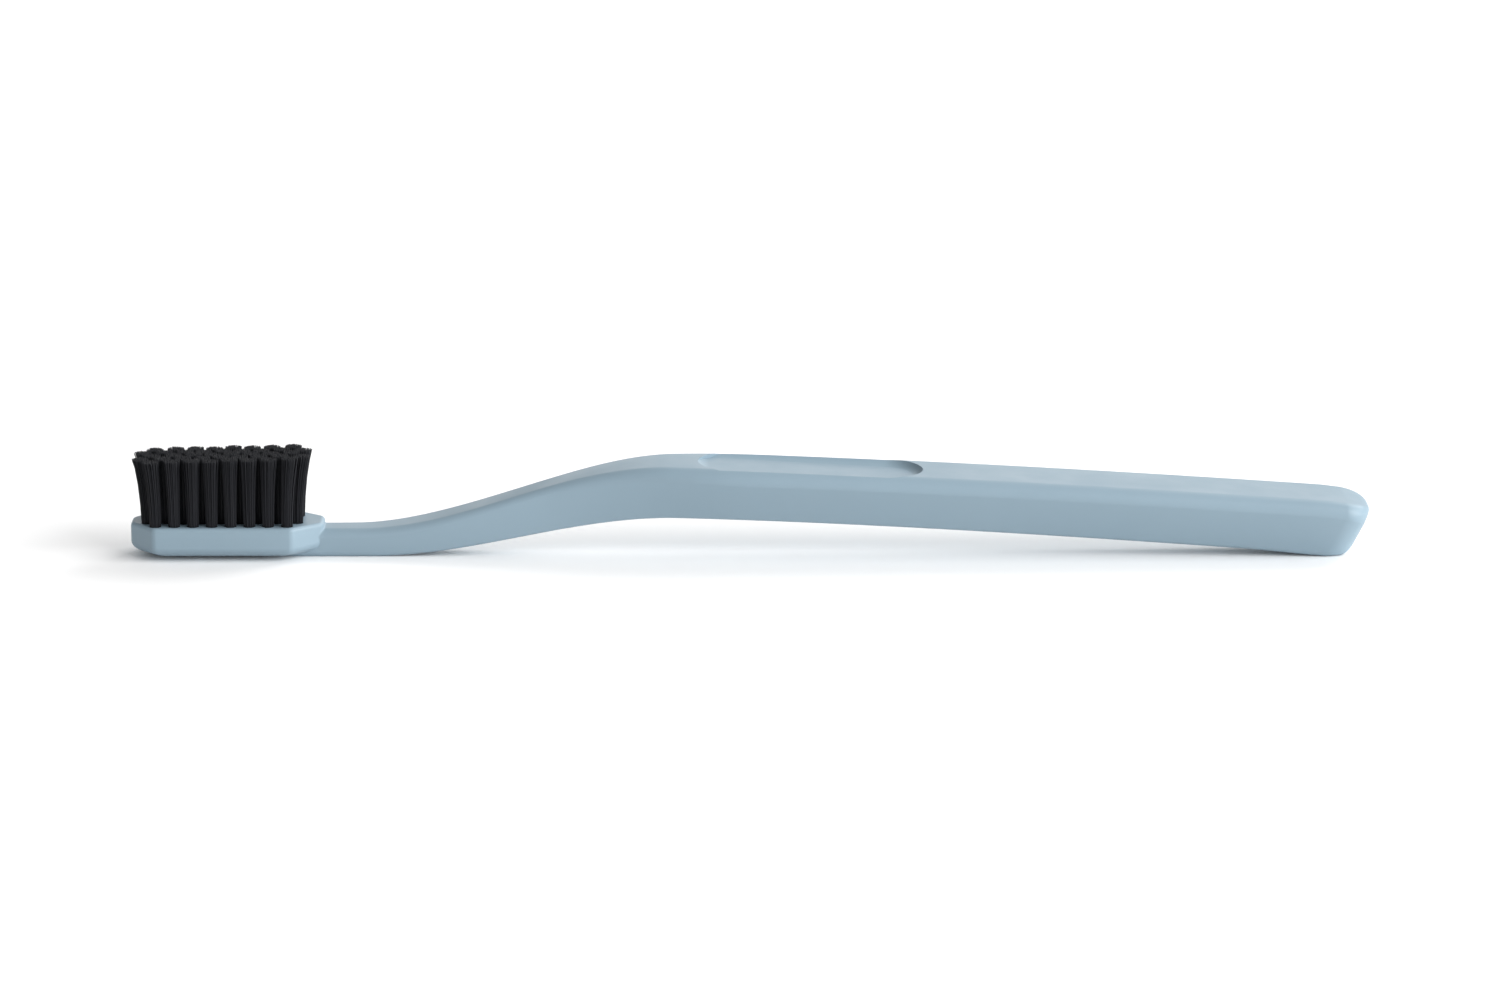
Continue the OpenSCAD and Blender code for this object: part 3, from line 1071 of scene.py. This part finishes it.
# %% A node group for uneven surfaces
def make_uneven_group():
    """The shader group, with its sockets and its nodes."""
    group = bpy.data.node_groups.new("uneven_surface", "ShaderNodeTree")
    for name, kind in (
        ("Place", "NodeSocketVector"),
        ("Color", "NodeSocketColor"),
        ("Drift Color", "NodeSocketColor"),
        ("Drift Scale", "NodeSocketFloat"),
        ("Smooth", "NodeSocketFloat"),
        ("Rough", "NodeSocketFloat"),
        ("Rough Scale", "NodeSocketFloat"),
        ("Grain Scale", "NodeSocketFloat"),
    ):
        group.interface.new_socket(name=name, in_out="INPUT", socket_type=kind)
    for name, kind in (
        ("Color", "NodeSocketColor"),
        ("Roughness", "NodeSocketFloat"),
        ("Grain", "NodeSocketFloat"),
    ):
        group.interface.new_socket(name=name, in_out="OUTPUT", socket_type=kind)
    given = group.nodes.new("NodeGroupInput").outputs
    result = group.nodes.new("NodeGroupOutput").inputs
    place = given["Place"]
    drift = node(group, "ShaderNodeTexNoise", Vector=place, Scale=given["Drift Scale"], Detail=3.0)
    blotch = node(group, "ShaderNodeTexNoise", Vector=place, Scale=given["Rough Scale"], Detail=4.0)
    grain = node(group, "ShaderNodeTexNoise", Vector=place, Scale=given["Grain Scale"], Detail=2.0)
    rough = node(
        group,
        "ShaderNodeMapRange",
        Value=blotch.outputs["Fac"],
        From_Min=0.3,
        From_Max=0.7,
        To_Min=given["Smooth"],
        To_Max=given["Rough"],
    )
    feed(group, mixed(group, drift.outputs["Fac"], given["Color"], given["Drift Color"]), result["Color"])
    feed(group, rough.outputs["Result"], result["Roughness"])
    feed(group, grain.outputs["Fac"], result["Grain"])
    return group


uneven = make_uneven_group()
print("shared group:", uneven.name, "with", len(uneven.nodes), "nodes")

# %% [markdown]
# Every material starts alike: a Principled shader, the shared group, and places in Object coordinates,
# which stay with the piece when it moves. A Mapping node can squeeze the places, to stretch the pattern
# along one direction. The grain reaches the shader through a Bump node, which bends the light as a real
# relief would but adds no faces.

# %% Start of a material
def start_material(name, stretch=None, **inputs):
    """A material whose shader takes its roughness from the shared group, with the group's inputs set."""
    material = bpy.data.materials.new(name)
    material.use_nodes = True
    tree = material.node_tree
    shader = tree.nodes["Principled BSDF"]
    place = node(tree, "ShaderNodeTexCoord").outputs["Object"]
    if stretch:
        place = node(tree, "ShaderNodeMapping", Vector=place, Scale=stretch).outputs["Vector"]
    surface = node(tree, "ShaderNodeGroup", {"node_tree": uneven}, Place=place, **inputs)
    feed(tree, surface.outputs["Roughness"], shader.inputs["Roughness"])
    return material, tree, shader, surface


def add_grain(tree, shader, surface, strength, distance):
    """Makes the group's grain a relief, whose height is in metres."""
    height = surface.outputs["Grain"]
    bump = node(tree, "ShaderNodeBump", Height=height, Strength=strength, Distance=distance)
    feed(tree, bump.outputs["Normal"], shader.inputs["Normal"])


def cover(piece, material):
    """Gives a piece one material and no other."""
    piece.data.materials.clear()
    piece.data.materials.append(material)


print("sockets of the shared group:", len(uneven.interface.items_tree))

# %% [markdown]
# The handle's plastic is grey-blue with a satin skin. A mould's skin is never perfectly even: the tint
# drifts very slightly, patches are a little shinier than others, and a fine grain softens the
# highlights.

# %% Handle plastic
plastic, tree, shader, surface = start_material(
    "satin_grey_blue_plastic",
    Color=(0.216, 0.3, 0.361, 1),
    Drift_Color=(0.234, 0.32, 0.38, 1),
    Drift_Scale=45,
    Smooth=0.42,
    Rough=0.54,
    Rough_Scale=160,
    Grain_Scale=5200,
)
feed(tree, surface.outputs["Color"], shader.inputs["Base Color"])
add_grain(tree, shader, surface, strength=0.35, distance=0.00002)
shader.inputs["IOR"].default_value = 1.49
cover(handle, plastic)
print("plastic on", handle.name)

# %% [markdown]
# Nylon filament is nearly black here. Its pattern is stretched upwards, along the filaments, as drawn
# nylon has it. The stored tone makes one filament a bit lighter than its neighbour, and the last sliver
# of each filament, at its tip, is mixed halfway to a paler colour.

# %% Bristle nylon
tip_starts = 0.985
tip_paleness = 0.5

nylon, tree, shader, surface = start_material(
    "near_black_nylon",
    stretch=(1, 1, 0.06),
    Color=(0.008, 0.0085, 0.0105, 1),
    Drift_Color=(0.013, 0.014, 0.017, 1),
    Drift_Scale=2600,
    Smooth=0.4,
    Rough=0.55,
    Rough_Scale=3000,
    Grain_Scale=9000,
)
tone = node(tree, "ShaderNodeAttribute", {"attribute_name": "tone"}).outputs["Fac"]
along = node(tree, "ShaderNodeAttribute", {"attribute_name": "along"}).outputs["Fac"]
# The last sliver of each filament, at its tip, is mixed towards a paler colour
tip = node(tree, "ShaderNodeMapRange", Value=along, From_Min=tip_starts, From_Max=1, To_Max=tip_paleness)
lighter = mixed(tree, tone, surface.outputs["Color"], (0.018, 0.019, 0.023, 1))
paler = mixed(tree, tip.outputs["Result"], lighter, (0.018, 0.019, 0.022, 1))
feed(tree, paler, shader.inputs["Base Color"])
add_grain(tree, shader, surface, strength=0.2, distance=0.00001)
shader.inputs["Specular IOR Level"].default_value = 0.12
for tuft in tufts:
    cover(tuft, nylon)
print("nylon on", len(tufts), "tufts")

# %% [markdown]
# The anchors are flat brass wire. They are out of sight in the head, but they are real pieces, so they
# get a real finish: fine drawn lines along the wire.

# %% Anchor wire
wire, tree, shader, surface = start_material(
    "drawn_brass_wire",
    stretch=(0.04, 1, 1),
    Color=(0.72, 0.62, 0.4, 1),
    Drift_Color=(0.8, 0.71, 0.5, 1),
    Drift_Scale=4000,
    Smooth=0.2,
    Rough=0.38,
    Rough_Scale=6000,
    Grain_Scale=12000,
)
feed(tree, surface.outputs["Color"], shader.inputs["Base Color"])
add_grain(tree, shader, surface, strength=0.3, distance=0.00001)
shader.inputs["Metallic"].default_value = 1
for row in tufts_in_row:
    cover(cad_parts[f"anchors_row{row}"], wire)
print("wire on", len(tufts_in_row), "rows of anchors")

# %% [markdown]
# ## The studio
# The brush lies on a white table in a bright white room, where all sides get some light. The table is
# marked as stage, so it doesn't count as part of the brush.

# %% Table and room
table_w = 8

bpy.ops.object.select_all(action="DESELECT")
bpy.ops.mesh.primitive_plane_add(size=table_w, location=(0, 0, 0))
floor = bpy.context.object
floor.name = "floor"
paper = bpy.data.materials.new("white_paper")
paper.use_nodes = True
paper.node_tree.nodes["Principled BSDF"].inputs["Base Color"].default_value = (0.99, 0.99, 0.99, 1)
paper.node_tree.nodes["Principled BSDF"].inputs["Roughness"].default_value = 0.9
floor.data.materials.append(paper)

world = bpy.data.worlds.new("bright_room")
bpy.context.scene.world = world
world.use_nodes = True
world.node_tree.nodes["Background"].inputs["Color"].default_value = (1, 1, 1, 1)
world.node_tree.nodes["Background"].inputs["Strength"].default_value = 0.45
print("table:", table_w, "m wide")

# %% [markdown]
# Three soft boxes stand round the brush, at one distance. The strongest is low and to the front right,
# so that the ends of the head and the grip that face it are the palest, and the tip of the head, which
# faces away, is the darkest. It is also the largest, because the same light from a larger box shines
# less sharply in the plastic. Its lower part is under the table and lights nothing. The weaker ones at
# the back light the top. The colours are shown as they are, without a film look, so that white paper
# comes out white.

# %% Soft boxes
light_distance = 1.5
# How far round from the right, how far up, the size in metres, and the power in watts
soft_boxes = {
    "box_front_right": (331, 20, 1.5, 41),
    "box_back_right": (45, 40, 0.9, 11.2),
    "box_back": (90, 20, 0.9, 3),
}
for name, (around, up, size, power) in soft_boxes.items():
    light = bpy.data.lights.new(name, "AREA")
    light.size = size
    light.energy = power
    box = bpy.data.objects.new(name, light)
    bpy.context.scene.collection.objects.link(box)
    across = cos(radians(up))
    away = Vector((across * cos(radians(around)), across * sin(radians(around)), sin(radians(up))))
    box.location = away * light_distance
    box.rotation_euler = (-away).to_track_quat("-Z", "Y").to_euler()
    box.visible_camera = False
bpy.context.scene.view_settings.view_transform = "Standard"
print("soft boxes:", len(soft_boxes))

# %% [markdown]
# ## The camera
# The photographer stood almost square to the brush, a little above it, and used a long lens. The lens
# follows from how many pixels one millimetre takes up in the picture, once a distance is chosen. A long
# distance is what makes the two ends of the brush look the same size.

# %% Camera
image_w = 1500
pixels_per_mm = 6.51
camera_distance = 900
camera_up = radians(14.5)
camera_round = radians(-0.335)
aim = Vector((0, 0, 8.23))

camera = bpy.data.cameras.new("camera")
camera.sensor_width = 36
camera.lens = camera.sensor_width * pixels_per_mm * camera_distance / image_w
camera.clip_start = 0.01
camera.clip_end = 50
viewer = bpy.data.objects.new("camera", camera)
bpy.context.scene.collection.objects.link(viewer)
back = Vector((sin(camera_round) * cos(camera_up), -cos(camera_round) * cos(camera_up), sin(camera_up)))
viewer.location = (aim + back * camera_distance) * mm
viewer.rotation_euler = (-back).to_track_quat("-Z", "Y").to_euler()
bpy.context.scene.camera = viewer
print("lens", round(camera.lens, 1), "mm at", camera_distance, "mm")
